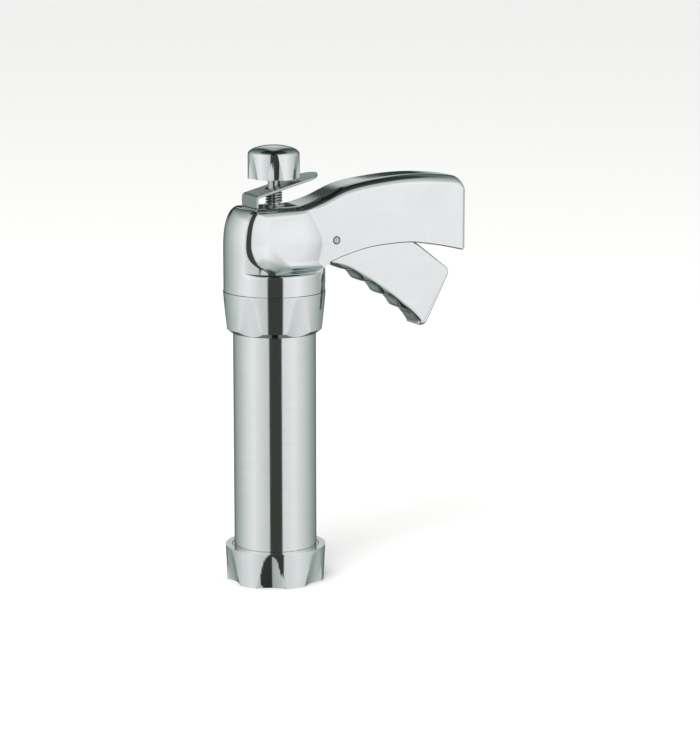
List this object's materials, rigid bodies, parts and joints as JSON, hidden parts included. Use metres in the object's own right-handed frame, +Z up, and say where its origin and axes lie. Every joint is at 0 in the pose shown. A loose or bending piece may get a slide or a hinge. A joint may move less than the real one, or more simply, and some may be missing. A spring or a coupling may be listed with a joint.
{
  "type": "cookie press",
  "caption": "Trigger cookie press: dough barrel with a shaping disc in a screw ring, cast housing with a handle and squeeze trigger, plunger rod with a round knob and a thumb release plate",
  "frame": {"origin": "centre of the shaping disc's outer face, on the barrel's axis", "axes": "+Z runs up the barrel's axis to the knob, +X from the barrel's axis toward the handle's end, +Y across the handle to the left of +X"},
  "size_m": [0.1493, 0.0596, 0.2564],
  "materials": {
    "cast_aluminium": "die-cast aluminium, bright chrome-like polish",
    "barrel_metal": "aluminium, bright polish",
    "steel": "plated steel",
    "brass": "turned brass",
    "rubber": "moulded black rubber"
  },
  "bodies": {
    "frame": {"housing": "cast_aluminium", "barrel": "barrel_metal", "barrel_collar": "barrel_metal", "head_gasket": "rubber", "rod_guide_disc": "barrel_metal", "lower_rod_bushing": "brass", "upper_rod_bushing": "brass", "trigger_pin": "steel", "drive_spring": "steel", "drive_spring_washer": "steel", "release_spring": "steel", "release_spring_washer": "steel"},
    "trigger": {"trigger": "cast_aluminium"},
    "drive_plate": {"drive_plate": "steel"},
    "plunger": {"plunger_rod": "steel", "knob": "cast_aluminium", "piston": "barrel_metal", "piston_seal": "rubber", "piston_washer": "steel", "piston_nut": "steel"},
    "release_plate": {"release_plate": "steel"},
    "die": {"die_disc": "steel"},
    "bottom_ring": {"bottom_ring": "cast_aluminium"},
    "top_ring": {"top_ring": "cast_aluminium"}
  },
  "joints": [
    {"name": "trigger_squeeze", "type": "hinge", "parent": "frame", "child": "trigger", "pos_m": [0.0338, 0, 0.1979], "axis": [0, -1, 0], "range_deg": [0, 28], "stiffness_Nm_per_rad": 0.9, "springref_deg": -17.19},
    {"name": "drive_plate_feed", "type": "slide", "parent": "frame", "child": "drive_plate", "axis": [0, 0, -1], "range_m": [0, 0.0123], "deforming": ["drive_spring"]},
    {"name": "rod_slide", "type": "slide", "parent": "frame", "child": "plunger", "axis": [0, 0, 1], "range_m": [0, 0.13]},
    {"name": "release_plate_tilt", "type": "hinge", "parent": "frame", "child": "release_plate", "pos_m": [-0.015, 0, 0.2165], "axis": [0, 1, 0], "range_deg": [0, 5], "stiffness_Nm_per_rad": 0.05, "springref_deg": -17.19, "deforming": ["release_spring"]},
    {"name": "die_drop", "type": "slide", "parent": "frame", "child": "die", "axis": [0, 0, -1], "range_m": [0, 0.0061]},
    {"name": "bottom_ring_turn", "type": "hinge", "parent": "die", "child": "bottom_ring", "pos_m": [0, 0, 0], "axis": [0, 0, -1], "range_deg": [0, 720]},
    {"name": "top_ring_turn", "type": "hinge", "parent": "frame", "child": "top_ring", "pos_m": [0, 0, 0.15], "axis": [0, 0, -1], "range_deg": [0, 360]}
  ],
  "couplings": [
    {"joint": "drive_plate_feed", "follows": "trigger_squeeze", "m_per_rad": 0.025},
    {"joint": "die_drop", "follows": "bottom_ring_turn", "m_per_rad": 0.00047746}
  ]
}
